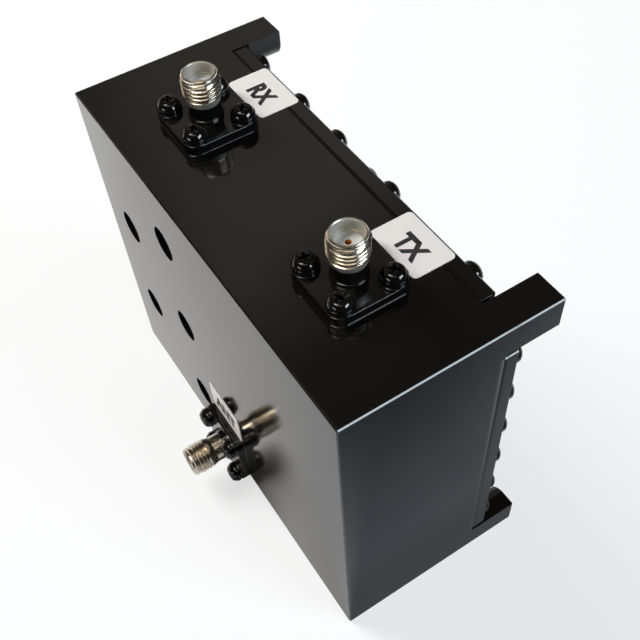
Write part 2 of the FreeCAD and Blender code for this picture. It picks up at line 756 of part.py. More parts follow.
def make_label():
    body = new_body("label")
    outline = new_sketch(body, "label_outline", "XY_Plane")
    draw_rectangle(outline, "-sizes.label_length / 2", "-sizes.label_width / 2",
                   "sizes.label_length / 2", "sizes.label_width / 2")
    add_pad(body, outline, "sizes.label_thickness")

    def is_upright(edge):
        left, right, near, far, low, high = box_of(edge)
        return close(left, right) and close(near, far)

    round_edges(body, is_upright, "sizes.label_corner")
    return body


shell = make_socket_shell()
insulator = make_insulator()
contact = make_contact()
washer = make_washer()
flange_screw = make_screw("flange_screw", "flange_screw",
                          "sizes.flange_thickness + sizes.washer_thickness"
                          " + sizes.flange_screw_grip")
cover_screw = make_screw("cover_screw", "cover_screw",
                         "sizes.cover_thickness + sizes.cover_screw_grip")
post_screw = make_screw("post_screw", "post_screw",
                        "sizes.floor_thickness - sizes.counterbore_depth"
                        " + sizes.post_screw_grip")
tuning_screw = make_adjuster("tuning_screw", "tuning")
tuning_nut = make_nut("tuning_nut", "tuning")
coupling_screw = make_adjuster("coupling_screw", "coupling")
coupling_nut = make_nut("coupling_nut", "coupling")
post = make_post()
label = make_label()

nodes = [make_housing(), make_cover()]
for name, seat in sockets:
    nodes.append(group_of(name + "_connector_shell", shell, [seat]))
    nodes.append(group_of(name + "_connector_insulator", insulator, [seat]))
    nodes.append(group_of(name + "_connector_contact", contact, [seat]))
    on_flange = size("flange_thickness")
    on_washer = on_flange + size("washer_thickness")
    nodes.append(group_of(name + "_connector_washers", washer,
                          [seat.multiply(place) for place in flange_places(on_flange)]))
    nodes.append(group_of(name + "_connector_screws", flange_screw,
                          [seat.multiply(place) for place in flange_places(on_washer)]))

nodes.append(group_of("cover_screws", cover_screw,
                      places_along_y(cover_screw_spots(), cover_face)))

# The receive posts stand on the cavity floors, each held from the antenna face.
for number, foot in enumerate(places_along_y(post_spots, floor), start=1):
    nodes.append(group_of("rx_resonator_%d" % number, post, [foot]))
nodes.append(group_of("resonator_screws", post_screw,
                      places_along_y(post_spots, face + size("counterbore_depth"),
                                     towards_face)))

for kind, screw, nut, spots in (("tuning", tuning_screw, tuning_nut, tuning_spots),
                                ("coupling", coupling_screw, coupling_nut, coupling_spots)):
    on_cover = places_along_y(spots, cover_face)
    nodes.append(group_of(kind + "_screws", screw, on_cover))
    nodes.append(group_of(kind + "_lock_nuts", nut, on_cover))

nodes.append(make_top_tap("rx_tap", -1, size("rx_port_offset")))
nodes.append(make_top_tap("tx_tap", 1, size("tx_port_offset")))
nodes.append(make_antenna_tap())

top_label_row = (size("flange_side") / 2 + cover_face) / 2 + size("top_label_shift")
ant_label_row = (size("ant_port_height") + size("flange_side") / 2 + size("ant_label_gap")
                 + size("label_width") / 2)
upright = FreeCAD.Rotation(FreeCAD.Vector(1, 0, 0), 90)
for name, spot, turn in (
        ("rx_label", FreeCAD.Vector(-size("rx_label_offset"), top_label_row, height),
         FreeCAD.Rotation()),
        ("tx_label", FreeCAD.Vector(size("tx_label_offset"), top_label_row, height),
         FreeCAD.Rotation()),
        ("ant_label", FreeCAD.Vector(-size("ant_label_offset"), face, ant_label_row), upright)):
    nodes.append(group_of(name, label, [FreeCAD.Placement(spot, turn)]))

doc.recompute()
for item in doc.Objects:
    if "Invalid" in item.State or "Error" in item.State:
        raise RuntimeError("%s failed: %s" % (item.Label, item.State))
for node in nodes:
    if node.Shape.isNull() or not node.Shape.isValid():
        raise RuntimeError(node.Label + " has no valid shape")

os.makedirs("parts", exist_ok=True)
for node in nodes:
    node.Shape.exportStep("parts/%s.step" % node.Label)
print("%d nodes, %d solids" % (len(nodes), sum(len(node.Shape.Solids) for node in nodes)))
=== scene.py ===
import json
import math
import random

import bmesh
import bpy
from mathutils import Matrix, Vector

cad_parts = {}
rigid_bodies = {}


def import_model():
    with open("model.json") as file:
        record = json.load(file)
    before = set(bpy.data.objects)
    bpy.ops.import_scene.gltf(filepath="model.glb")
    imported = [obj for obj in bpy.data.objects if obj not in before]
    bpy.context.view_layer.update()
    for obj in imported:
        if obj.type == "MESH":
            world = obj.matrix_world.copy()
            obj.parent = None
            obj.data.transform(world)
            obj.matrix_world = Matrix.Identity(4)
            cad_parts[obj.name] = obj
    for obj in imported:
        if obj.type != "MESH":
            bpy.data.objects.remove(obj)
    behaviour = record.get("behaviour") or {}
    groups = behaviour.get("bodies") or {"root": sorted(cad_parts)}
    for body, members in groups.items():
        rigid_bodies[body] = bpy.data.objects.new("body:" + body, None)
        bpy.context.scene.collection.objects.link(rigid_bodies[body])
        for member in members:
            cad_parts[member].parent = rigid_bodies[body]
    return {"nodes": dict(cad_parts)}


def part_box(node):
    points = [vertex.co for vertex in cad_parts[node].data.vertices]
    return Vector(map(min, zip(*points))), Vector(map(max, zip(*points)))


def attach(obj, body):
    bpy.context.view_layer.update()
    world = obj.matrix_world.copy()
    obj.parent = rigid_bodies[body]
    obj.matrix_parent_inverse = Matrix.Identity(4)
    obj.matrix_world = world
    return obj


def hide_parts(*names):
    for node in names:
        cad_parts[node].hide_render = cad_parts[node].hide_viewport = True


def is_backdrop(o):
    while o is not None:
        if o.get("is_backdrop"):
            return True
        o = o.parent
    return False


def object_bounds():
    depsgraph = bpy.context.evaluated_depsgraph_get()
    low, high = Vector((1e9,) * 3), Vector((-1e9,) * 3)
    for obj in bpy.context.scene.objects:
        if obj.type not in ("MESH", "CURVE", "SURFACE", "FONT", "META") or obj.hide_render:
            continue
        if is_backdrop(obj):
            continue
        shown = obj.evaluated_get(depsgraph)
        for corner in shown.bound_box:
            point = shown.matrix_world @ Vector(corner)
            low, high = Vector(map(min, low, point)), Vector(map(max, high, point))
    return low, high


random.seed(11)
mm = 0.001
turn = math.tau

for old in list(bpy.data.objects):
    bpy.data.objects.remove(old)
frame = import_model()
nodes = frame["nodes"]
scene = bpy.context.scene
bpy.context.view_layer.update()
print("frame loaded,", len(nodes), "nodes")


# camera, fitted to the photo
view = {
    "place": (0.08928, -0.04289, 0.15936),
    "right": (0.54686, 0.83637, -0.03784),
    "down": (0.66008, -0.45852, -0.59502),
    "ahead": (-0.51501, 0.30042, -0.80282),
    "lens": 50.74,
    "shiftX": -0.0239,
    "shiftY": 0.0417,
    "sensor": 36.0,
    "clip": (0.002, 20.0),
}
cameraData = bpy.data.cameras.new("photoCamera")
camera = bpy.data.objects.new("photoCamera", cameraData)
scene.collection.objects.link(camera)
columns = (Vector(view["right"]), -Vector(view["down"]), -Vector(view["ahead"]))
turned = Matrix([[c[i] for c in columns] for i in range(3)])
camera.matrix_world = Matrix.Translation(view["place"]) @ turned.to_4x4()
cameraData.sensor_width = view["sensor"]
cameraData.lens = view["lens"]
cameraData.shift_x = view["shiftX"]
cameraData.shift_y = view["shiftY"]
cameraData.clip_start, cameraData.clip_end = view["clip"]
scene.camera = camera
print("camera set")


# shader helpers
class Wire:  # a socket that takes plain arithmetic
    def __init__(self, sheet, socket):
        self.sheet = sheet
        self.socket = socket

    def maths(self, kind, *values):
        return self.sheet.node("ShaderNodeMath", {"operation": kind}, dict(enumerate(values)))

    def size(self):  # without its sign
        return self.maths("ABSOLUTE", self)

    def most(self, other):
        return self.maths("MAXIMUM", self, other)

    def __add__(self, other):
        return self.maths("ADD", self, other)

    def __radd__(self, other):
        return self.maths("ADD", other, self)

    def __sub__(self, other):
        return self.maths("SUBTRACT", self, other)

    def __rsub__(self, other):
        return self.maths("SUBTRACT", other, self)

    def __mul__(self, other):
        return self.maths("MULTIPLY", self, other)

    def __rmul__(self, other):
        return self.maths("MULTIPLY", other, self)

    def __lt__(self, other):
        return self.maths("LESS_THAN", self, other)


class Sheet:  # one node tree
    def __init__(self, tree):
        self.tree = tree
        tree.nodes.clear()

    def node(self, kind, settings=None, values=None, out=0):
        made = self.tree.nodes.new(kind)
        for key, value in (settings or {}).items():
            if key == "stops":
                stops = made.color_ramp.elements
                while len(stops) < len(value):
                    stops.new(0.5)
                for stop, (place, colour) in zip(stops, value):
                    stop.position = place
                    stop.color = (*colour, 1.0)
            else:
                setattr(made, key, value)
        for key, value in (values or {}).items():
            if isinstance(value, Wire):
                self.tree.links.new(value.socket, made.inputs[key])
            else:
                made.inputs[key].default_value = value
        return Wire(self, made.outputs[out]) if made.outputs else None

    def blend(self, mask, first, second):
        first, second = [(*c, 1.0) if isinstance(c, tuple) else c for c in (first, second)]
        return self.node("ShaderNodeMix", {"data_type": "RGBA"}, {0: mask, 6: first, 7: second}, 2)

    def place(self):
        return self.node("ShaderNodeTexCoord", out=3)

    def noise(self, place, scale, detail=2.0, rough=0.5):
        values = {"Vector": place, "Scale": scale, "Detail": detail, "Roughness": rough}
        return self.node("ShaderNodeTexNoise", None, values)

    def part(self, vector, index):
        return self.node("ShaderNodeSeparateXYZ", None, {0: vector}, index)

    def span(self, value, low, high, fromLow=0.0, fromHigh=1.0):
        values = {0: value, 1: fromLow, 2: fromHigh, 3: low, 4: high}
        return self.node("ShaderNodeMapRange", None, values)

    def bump(self, height, distance, strength=1.0, normal=None):
        values = {"Height": height, "Distance": distance, "Strength": strength}
        if normal is not None:
            values["Normal"] = normal
        return self.node("ShaderNodeBump", None, values)


def newFinish(name):
    finish = bpy.data.materials.new(name)
    finish.use_nodes = True
    return finish, Sheet(finish.node_tree)


def closeFinish(sheet, values):
    shader = sheet.node("ShaderNodeBsdfPrincipled", None, values)
    sheet.node("ShaderNodeOutputMaterial", None, {"Surface": shader})


# finishes
paintLook = {
    "dark": (0.0035, 0.0034, 0.0036),
    "warm": (0.0075, 0.0068, 0.0058),
    "dust": (0.62, 0.62, 0.60),
    "rough": (0.035, 0.085),  # where it is clean and where it is smudged
    "smudgeSpan": (0.3, 0.75), "grainRough": 0.03,
    "broad": 55.0, "smudge": 260.0, "grain": 5200.0,  # scales of the noises, per metre
    "specks": 190.0,  # cells that can hold a speck of dust, per metre
    "speckShare": 0.035,
    "speckSize": 0.00019,
    "speckRough": 0.5,
    "peel": 620.0,  # waves of the lacquer, per metre
    "peelDepth": 0.0000012,
    "grainDepth": 0.00000015,
    "seamWidth": 0.00075,  # the lacquer sinks a little over the cover's seam
    "seamDepth": 0.00009,
    "ear": 0.0061,  # side of the cover's notches
    "ior": 1.52,
}


def seamDip(sheet, place, look):  # 1 on the seam between the ears, falling to 0 on both sides
    low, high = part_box("cover")
    earLow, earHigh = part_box("housing")
    middle = (low + high) / 2
    x, y, z = [sheet.part(place, i) for i in range(3)]
    dip = sheet.span((y - low.y).size(), 1.0, 0.0, 0.0, look["seamWidth"])
    reach = (earHigh - earLow) / 2
    betweenSides = (x - middle.x).size() < reach.x - look["ear"]
    betweenEnds = (z - middle.z).size() < reach.z - look["ear"]
    return dip * dip * betweenSides.most(betweenEnds)


def makePaint(name, look, speckShare, seamed=False):
    finish, sheet = newFinish(name)
    place = sheet.place()
    broad = sheet.noise(place, look["broad"], 3.0)
    smudge = sheet.noise(place, look["smudge"], 4.0, 0.65)
    grain = sheet.noise(place, look["grain"], 2.0)
    colour = sheet.blend(broad, look["dark"], look["warm"])
    cells = {"Vector": place, "Scale": look["specks"], "Randomness": 1.0}
    distance = sheet.node("ShaderNodeTexVoronoi", {"feature": "F1"}, cells, 0)
    cellColour = sheet.node("ShaderNodeTexVoronoi", {"feature": "F1"}, cells, 1)
    lot = sheet.node("ShaderNodeSeparateColor", None, {0: cellColour}, 0)
    speck = (distance < look["speckSize"] * look["specks"]) * (lot < speckShare)
    colour = sheet.blend(speck, colour, look["dust"])
    rough = sheet.span(smudge, *look["rough"], *look["smudgeSpan"]) + look["grainRough"] * grain
    rough = rough + look["speckRough"] * speck
    waves = sheet.noise(place, look["peel"], 2.0)
    normal = sheet.bump(waves, look["peelDepth"])
    normal = sheet.bump(grain, look["grainDepth"], 1.0, normal)
    if seamed:
        normal = sheet.bump(1.0 - seamDip(sheet, place, look), look["seamDepth"], 1.0, normal)
    closeFinish(sheet, {
        "Base Color": colour, "Roughness": rough, "Normal": normal, "IOR": look["ior"],
    })
    return finish


metalLook = {  # two colours of the stain, roughness, metallic share
    "nickel": ((0.80, 0.74, 0.64), (0.62, 0.53, 0.42), 0.16, 1.0),
    "bored": ((0.68, 0.66, 0.60), (0.54, 0.52, 0.46), 0.34, 0.65),
    # the taper's nickel is the bored nickel made darker: painted shade on the taper, which faces
    # down
    "taperPaintedShade": ((0.56, 0.54, 0.50), (0.44, 0.42, 0.38), 0.34, 0.65),
    "gold": ((0.95, 0.66, 0.26), (0.72, 0.40, 0.12), 0.2, 1.0),
    "silver": ((0.86, 0.85, 0.82), (0.72, 0.70, 0.66), 0.26, 1.0),
    "steel": ((0.16, 0.155, 0.15), (0.09, 0.087, 0.085), 0.2, 1.0),  # oiled
}
metalGrain = {
    "rings": 9000.0, "stain": 420.0,  # marks of the turning tool and stains, per metre
    "ringDepth": 0.0000006,
    "stainSpan": (0.35, 0.75), "stainRough": 0.09, "ringRough": 0.04,
}
alongY = (0.0, 1.0, 0.0)
alongZ = (0.0, 0.0, 1.0)


def makeMetal(name, look, axis):
    pale, deep, smooth, metallic = look
    finish, sheet = newFinish(name)
    place = sheet.place()
    product = {"operation": "DOT_PRODUCT"}
    along = sheet.node("ShaderNodeVectorMath", product, {0: place, 1: axis}, 1)
    ringed = sheet.node("ShaderNodeCombineXYZ", None, {0: along, 1: 0.0, 2: 0.0})
    rings = sheet.noise(ringed, metalGrain["rings"], 3.0)
    stain = sheet.noise(place, metalGrain["stain"], 4.0, 0.6)
    colour = sheet.blend(sheet.span(stain, 0.0, 1.0, *metalGrain["stainSpan"]), pale, deep)
    rough = smooth + metalGrain["stainRough"] * stain + metalGrain["ringRough"] * rings
    closeFinish(sheet, {
        "Base Color": colour, "Metallic": metallic, "Roughness": rough,
        "Normal": sheet.bump(rings, metalGrain["ringDepth"]),
    })
    return finish


plasticLook = {  # two colours of the cloud, roughness, grains per metre, their depth in m
    "white": ((0.93, 0.93, 0.92), (0.88, 0.88, 0.87), 0.42, 2600.0, 0.000002),
    "film": ((0.82, 0.775, 0.735), (0.79, 0.745, 0.71), 0.34, 3800.0, 0.0000012),
    "ink": ((0.022, 0.022, 0.025), (0.035, 0.034, 0.036), 0.42, 5200.0, 0.000001),
}
plasticGrain = {
    "cloud": 0.2,  # share of the grain's scale
    "cloudSpan": (0.3, 0.7), "grainRough": 0.12,
}


def makePlastic(name, look):
    pale, deep, rough, scale, depth = look
    finish, sheet = newFinish(name)
    place = sheet.place()
    cloud = sheet.noise(place, scale * plasticGrain["cloud"], 3.0)
    grain = sheet.noise(place, scale, 3.0, 0.6)
    colour = sheet.blend(sheet.span(cloud, 0.0, 1.0, *plasticGrain["cloudSpan"]), pale, deep)
    normal = sheet.bump(grain, depth)
    rough = rough + plasticGrain["grainRough"] * grain
    closeFinish(sheet, {"Base Color": colour, "Roughness": rough, "Normal": normal})
    return finish


paint = makePaint("glossBlackLacquer", paintLook, paintLook["speckShare"], True)
paintSmall = makePaint("glossBlackSmallParts", paintLook, 0.0)
nickelUp = makeMetal("turnedNickelUpright", metalLook["nickel"], alongZ)
nickelOut = makeMetal("turnedNickelLevel", metalLook["nickel"], alongY)
nickelBore = makeMetal("boredNickel", metalLook["bored"], alongZ)
# painted shade: a darker copy of the bored nickel, for the taper below the thread
nickelTaperPaintedShade = makeMetal("taperedNickelPaintedShade", metalLook["taperPaintedShade"], alongZ)
gold = makeMetal("giltContact", metalLook["gold"], alongZ)
silver = makeMetal("silverPlate", metalLook["silver"], alongY)
steel = makeMetal("bareSteel", metalLook["steel"], alongY)
ptfe = makePlastic("whiteFluoroplastic", plasticLook["white"])
labelFilm = makePlastic("labelFilm", plasticLook["film"])
labelInk = makePlastic("labelInk", plasticLook["ink"])
print("finishes made")


# mesh helpers
weld = {"made": 1e-7, "cad": 1e-6, "word": 1e-5}  # vertices closer than this are one, in m
rimAngle = {"carved": 38.0, "cad": 40.0}  # degrees between two faces, above which a rim is eased


def blank():
    return bmesh.new()


def brick(x, y, z, lift=0.0):  # sizes in mm, centred on the z axis
    bm = blank()
    bmesh.ops.create_cube(bm, size=1.0)
    bmesh.ops.scale(bm, verts=bm.verts, vec=(x * mm, y * mm, z * mm))
    bmesh.ops.translate(bm, verts=bm.verts, vec=(0, 0, lift * mm))
    return bm


def tidyMesh(bm):
    bmesh.ops.remove_doubles(bm, verts=bm.verts, dist=weld["made"])
    bmesh.ops.recalc_face_normals(bm, faces=bm.faces)
    return bm


def sharpEdges(bm, degrees):
    limit = math.radians(degrees)
    return [e for e in bm.edges if e.calc_face_angle(0.0) > limit]


def soften(bm, width, degrees=35.0, segments=2, edges=None):
    chosen = sharpEdges(bm, degrees) if edges is None else edges
    bmesh.ops.bevel(
        bm, geom=chosen, offset=width * mm, offset_type="OFFSET", segments=segments,
        profile=0.5, affect="EDGES", clamp_overlap=True, material=-1,
    )
    return bm


def lathe(profile, steps, closed=True):  # profile of (radius, height) in mm
    bm = blank()
    line = [bm.verts.new((r * mm, 0.0, h * mm)) for r, h in profile]
    pairs = list(zip(line, line[1:])) + ([(line[-1], line[0])] if closed else [])
    edges = [bm.edges.new(pair) for pair in pairs]
    bmesh.ops.spin(
        bm, geom=line + edges, cent=(0, 0, 0), axis=(0, 0, 1), dvec=(0, 0, 0),
        angle=turn, steps=steps, use_merge=True, use_duplicate=False,
    )
    return tidyMesh(bm)


def screwed(section, angle, rise, steps):  # sweeps a closed (radius, height) section round z
    bm = blank()
    line = [bm.verts.new((r * mm, 0.0, h * mm)) for r, h in section]
    edges = [bm.edges.new(pair) for pair in zip(line, line[1:] + line[:1])]
    bmesh.ops.spin(
        bm, geom=line + edges, cent=(0, 0, 0), axis=(0, 0, 1), dvec=(0, 0, rise * mm / steps),
        angle=angle, steps=steps, use_merge=False, use_duplicate=False,
    )
    openEnds = [e for e in bm.edges if e.is_boundary]
    bmesh.ops.holes_fill(bm, edges=openEnds, sides=len(section))
    return tidyMesh(bm)


def keep(bm, name):  # a bmesh as a mesh to copy from
    mesh = bpy.data.meshes.new(name)
    bm.to_mesh(mesh)
    bm.free()
    return mesh


def easeRims(body, width, degrees):
    ease = body.modifiers.new("rims", "BEVEL")
    ease.limit_method = "ANGLE"
    ease.angle_limit = math.radians(degrees)
    ease.width = width * mm
    ease.segments = 2
    ease.use_clamp_overlap = True


def shadeEvenly(body):
    shading = body.modifiers.new("evenShading", "WEIGHTED_NORMAL")
    shading.keep_sharp = True


def carve(mesh, cutters, rim):  # the mesh less each cutter, with its sharp rims eased
    body = bpy.data.objects.new("carved", mesh)
    scene.collection.objects.link(body)
    tools = []
    for cutter in cutters:
        tool = bpy.data.objects.new("tool", cutter)
        scene.collection.objects.link(tool)
        cut = body.modifiers.new("cut", "BOOLEAN")
        cut.operation = "DIFFERENCE"
        cut.solver = "EXACT"
        cut.object = tool
        tools.append(tool)
    if rim:
        easeRims(body, rim, rimAngle["carved"])
    graph = bpy.context.evaluated_depsgraph_get()
    made = bpy.data.meshes.new_from_object(body.evaluated_get(graph))
    for spare in [body] + tools:
        bpy.data.objects.remove(spare)
    return made


def scatter(mesh, places):  # one bmesh with a copy of the mesh at each matrix
    bm = blank()
    for place in places:
        start = len(bm.verts)
        bm.from_mesh(mesh)
        bm.verts.ensure_lookup_table()
        bmesh.ops.transform(bm, matrix=place, verts=bm.verts[start:])
    return bm


def join(*parts):
    bm = blank()
    for part in parts:
        mesh = keep(part, "joined")
        bm.from_mesh(mesh)
        bpy.data.meshes.remove(mesh)
    return bm


def addPiece(name, bm, finish, replaced=(), sharp=30.0, even=False):
    for face in bm.faces:
        face.smooth = True
    for edge in bm.edges:
        edge.smooth = edge.calc_face_angle(0.0) < math.radians(sharp)
    mesh = keep(bm, name)
    for one in finish if isinstance(finish, tuple) else (finish,):
        mesh.materials.append(one)
    made = bpy.data.objects.new(name, mesh)
    scene.collection.objects.link(made)
    if even:
        shadeEvenly(made)
    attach(made, "root")
    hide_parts(*replaced)
    return made


def islands(nodeName):  # the lowest and highest corner of each loose solid of a node
    bm = blank()
    bm.from_mesh(nodes[nodeName].data)
    bmesh.ops.remove_doubles(bm, verts=bm.verts, dist=weld["cad"])
    left = set(bm.verts)
    found = []
    while left:
        todo = [left.pop()]
        group = []
        while todo:
            vert = todo.pop()
            group.append(vert.co.copy())
            for edge in vert.link_edges:
                other = edge.other_vert(vert)
                if other in left:
                    left.remove(other)
                    todo.append(other)
        low = Vector([min(p[i] for p in group) for i in range(3)])
        high = Vector([max(p[i] for p in group) for i in range(3)])
        found.append((low, high))
    bm.free()
    return sorted(found, key=lambda pair: tuple(round(v, 5) for v in pair[0]))


upward = Matrix.Identity(4)
faceOut = Matrix.Rotation(math.radians(90), 4, "X")  # local z to -Y, local y to +Z
coverOut = Matrix.Rotation(math.radians(-90), 4, "X")  # local z to +Y
sharpAt = {"plates": 40.0, "turned": 34.0, "fasteners": 32.0}  # degrees between two faces


def outerMiddle(low, high, facing):  # middle of a box's outer side, and the way out
    out = facing.to_3x3() @ Vector((0, 0, 1))
    return (low + high) / 2 + out * (abs((high - low).dot(out)) / 2), out


def spots(nodeName, facing):  # a matrix on top of each loose solid, turned at random
    found = []
    for low, high in islands(nodeName):
        top = outerMiddle(low, high, facing)[0]
        spun = Matrix.Rotation(random.uniform(0.0, turn), 4, "Z")
        found.append(Matrix.Translation(top) @ facing @ spun)
    return found


# housing and cover
blockShape = {
    "rim": 0.1, "coverRim": 0.15, "coverLip": 0.28, "sharp": 30.0,
    "flat": 0.4,  # degrees between two faces of the CAD, below which they become one
    "near": 0.01, "lipLength": 1.0,  # how exactly a lip's edge lies in place, and its least length
}


def lipEdges(bm, reach):  # edges along Y at the ends of the plate, where its notches start
    near, lipLength = blockShape["near"] * mm, blockShape["lipLength"] * mm
    chosen = []
    for edge in bm.edges:
        start, end = edge.verts[0].co, edge.verts[1].co
        atEnd = min(abs(start.x), abs(end.x)) > reach - near
        if atEnd and abs(start.z - end.z) < near and abs(start.y - end.y) > lipLength:
            chosen.append(edge)
    return chosen


def mergedCopy(nodeName, pieceName, finish, rim, lip=0.0):
    bm = blank()
    bm.from_mesh(nodes[nodeName].data)
    bmesh.ops.remove_doubles(bm, verts=bm.verts, dist=weld["cad"])
    bmesh.ops.dissolve_limit(
        bm, angle_limit=math.radians(blockShape["flat"]), use_dissolve_boundaries=False,
        verts=bm.verts, edges=bm.edges, delimit=set(),
    )
    if lip:
        lips = lipEdges(bm, max(v.co.x for v in bm.verts))
        print("edges with a lip on", pieceName, len(lips))
        soften(bm, lip, segments=1, edges=lips)
    made = addPiece(pieceName, bm, finish, [nodeName], blockShape["sharp"])
    easeRims(made, rim, rimAngle["cad"])
    shadeEvenly(made)


mergedCopy("housing", "milled_housing", paint, blockShape["rim"])
mergedCopy("cover", "cover_plate", paint, blockShape["coverRim"], blockShape["coverLip"])
print("housing and cover made")


# screw heads, washers and nuts, each modelled once
heads = {
    "flange": {
        "radius": 1.85, "height": 1.0, "shank": 0.9, "cross": 2.2, "blade": 0.5, "depth": 0.85,
    },
    "cover": {
        "radius": 1.95, "height": 1.8, "shank": 1.0, "cross": 2.3, "blade": 0.55, "depth": 0.95,
    },
    "deep": {
        "radius": 2.75, "height": 2.0, "shank": 1.5, "cross": 3.0, "blade": 0.62, "depth": 1.1,
    },
}
headShape = {
    "crown": [  # share of the radius, height below the top in mm
        (0.0, 0.0), (0.35, -0.016), (0.58, -0.05), (0.68, -0.11), (0.76, -0.22), (0.87, -0.45),
        (0.95, -0.68), (1.0, -0.85),
    ],
    "foot": 0.12, "stub": 0.6, "rim": 0.05, "steps": 40,
    "crossTaper": (0.55, 0.8), "crossAbove": 0.4,
}
captiveWasher = {  # under the flange screws' heads
    "inner": 0.95, "outer": 2.0, "top": -1.03, "bottom": -1.6, "edge": 0.12, "reach": 0.6,
}


def crossCutters(length, width, depth):
    shorter, thinner = headShape["crossTaper"]
    cutters = []
    for angle in (0.0, turn / 4):
        bm = brick(length, width, 1.0)
        for vert in bm.verts:
            if vert.co.z < 0:
                vert.co.x *= shorter
                vert.co.y *= thinner
            vert.co.z = (headShape["crossAbove"] if vert.co.z > 0 else -depth) * mm
        bmesh.ops.rotate(bm, verts=bm.verts, matrix=Matrix.Rotation(angle, 3, "Z"))
        cutters.append(keep(bm, "cross"))
    return cutters


def makePanHead(radius, height, shank, cross, blade, depth):  # local z = 0 is its top
    foot, end = headShape["foot"], height + headShape["stub"]
    profile = [(r * radius, z) for r, z in headShape["crown"]]
    profile += [(radius, -height + foot), (radius - foot, -height)]
    profile += [(shank, -height), (shank, -end), (0.0, -end)]
    head = keep(lathe(profile, headShape["steps"], False), "head")
    return carve(head, crossCutters(cross, blade, depth), headShape["rim"])


def makeFlangeScrew(head, w):
    inner, outer, top, bottom, edge = [w[k] for k in ("inner", "outer", "top", "bottom", "edge")]
    profile = [
        (inner, top), (outer - edge, top), (outer - 0.3 * edge, top - 0.3 * edge),
        (outer, top - edge), (outer, bottom + edge), (outer - edge, bottom), (inner, bottom),
    ]
    screw = blank()
    screw.from_mesh(makePanHead(**head))
    stubEnd = [v for v in screw.verts if v.co.z < -(head["height"] + w["reach"] / 2) * mm]
    bmesh.ops.translate(screw, verts=stubEnd, vec=(0, 0, -w["reach"] * mm))
    return keep(join(screw, lathe(profile, headShape["steps"])), "flangeScrew")


flangeScrew = makeFlangeScrew(heads["flange"], captiveWasher)
coverScrew = makePanHead(**heads["cover"])
deepScrew = makePanHead(**heads["deep"])

washerShape = {
    "outer": 1.93, "inner": 1.12, "height": 0.5, "rise": 0.12, "sweep": 0.955, "steps": 44,
    "edge": 0.09,
}


def makeSplitWasher(outer, inner, height, rise, sweep, steps, edge):
    thick = height - rise
    corners = [(inner, 0.0), (outer, 0.0), (outer, thick), (inner, thick)]
    bm = screwed(corners, turn * sweep, rise, steps)
    soften(bm, edge)
    bmesh.ops.translate(bm, verts=bm.verts, vec=(0, 0, -height * mm))  # local z = 0 is its top
    return keep(bm, "splitWasher")


splitWasher = makeSplitWasher(**washerShape)

nutShape = {
    "flat": 0.47, "reach": 0.72,  # where the crown starts and ends, in widths across the flats
    "slope": 0.42, "rim": 0.05, "crownSteps": 48, "boreSteps": 32,
    "beyond": 0.5,  # how far the cutters reach past the nut
}
tuningNutSize = {"acrossFlats": 5.5, "height": 1.8, "bore": 1.52}
couplingNutSize = {"acrossFlats": 4.0, "height": 1.6, "bore": 1.02}


def makeNut(acrossFlats, height, bore):
    bm = blank()
    corner = acrossFlats / math.sqrt(3) * mm
    bmesh.ops.create_cone(
        bm, cap_ends=True, cap_tris=False, segments=6, radius1=corner, radius2=corner,
        depth=height * mm,
    )
    bmesh.ops.translate(bm, verts=bm.verts, vec=(0, 0, -height / 2 * mm))
    nut = keep(bm, "nut")
    flat, reach = acrossFlats * nutShape["flat"], acrossFlats * nutShape["reach"]
    slope = nutShape["slope"] * (reach - flat)
    above, below = nutShape["beyond"], -height - nutShape["beyond"]
    ring = [(flat, above), (flat, 0.0), (reach, -slope), (reach, above)]
    rod = [(0.0, above), (bore, above), (bore, below), (0.0, below)]
    crown = lathe(ring, nutShape["crownSteps"])
    hole = lathe(rod, nutShape["boreSteps"], False)
    return carve(nut, [keep(crown, "crown"), keep(hole, "hole")], nutShape["rim"])


tuningScrewSize = {"radius": 1.5, "length": 3.2, "slotWidth": 0.45, "slotDepth": 0.8}
couplingScrewSize = {"radius": 1.0, "length": 2.8, "slotWidth": 0.35, "slotDepth": 0.6}
setScrewShape = {"chamfer": 0.2, "rim": 0.04, "steps": 36}


def makeSetScrew(radius, length, slotWidth, slotDepth):
    edge = setScrewShape["chamfer"]
    profile = [(0.0, 0.0), (radius - edge, 0.0), (radius, -edge), (radius, -length), (0.0, -length)]
    rod = keep(lathe(profile, setScrewShape["steps"], False), "rod")
    slot = keep(brick(radius * 3, slotWidth, slotDepth * 2), "slot")
    return carve(rod, [slot], setScrewShape["rim"])


tuningNut = makeNut(**tuningNutSize)
couplingNut = makeNut(**couplingNutSize)
tuningScrew = makeSetScrew(**tuningScrewSize)
couplingScrew = makeSetScrew(**couplingScrewSize)


def addRepeats(pieceName, nodeName, mesh, facing, finish=paintSmall):
    bm = scatter(mesh, spots(nodeName, facing))
    return addPiece(pieceName, bm, finish, [nodeName], sharpAt["fasteners"])


addRepeats("cover_screw_heads", "cover_screws", coverScrew, coverOut)
addRepeats("tuning_nut_set", "tuning_lock_nuts", tuningNut, coverOut)
addRepeats("coupling_nut_set", "coupling_lock_nuts", couplingNut, coverOut)
addRepeats("tuning_screw_set", "tuning_screws", tuningScrew, coverOut)
addRepeats("coupling_screw_set", "coupling_screws", couplingScrew, coverOut)
addRepeats("resonator_screw_heads", "resonator_screws", deepScrew, faceOut, steel)
print("fasteners made")


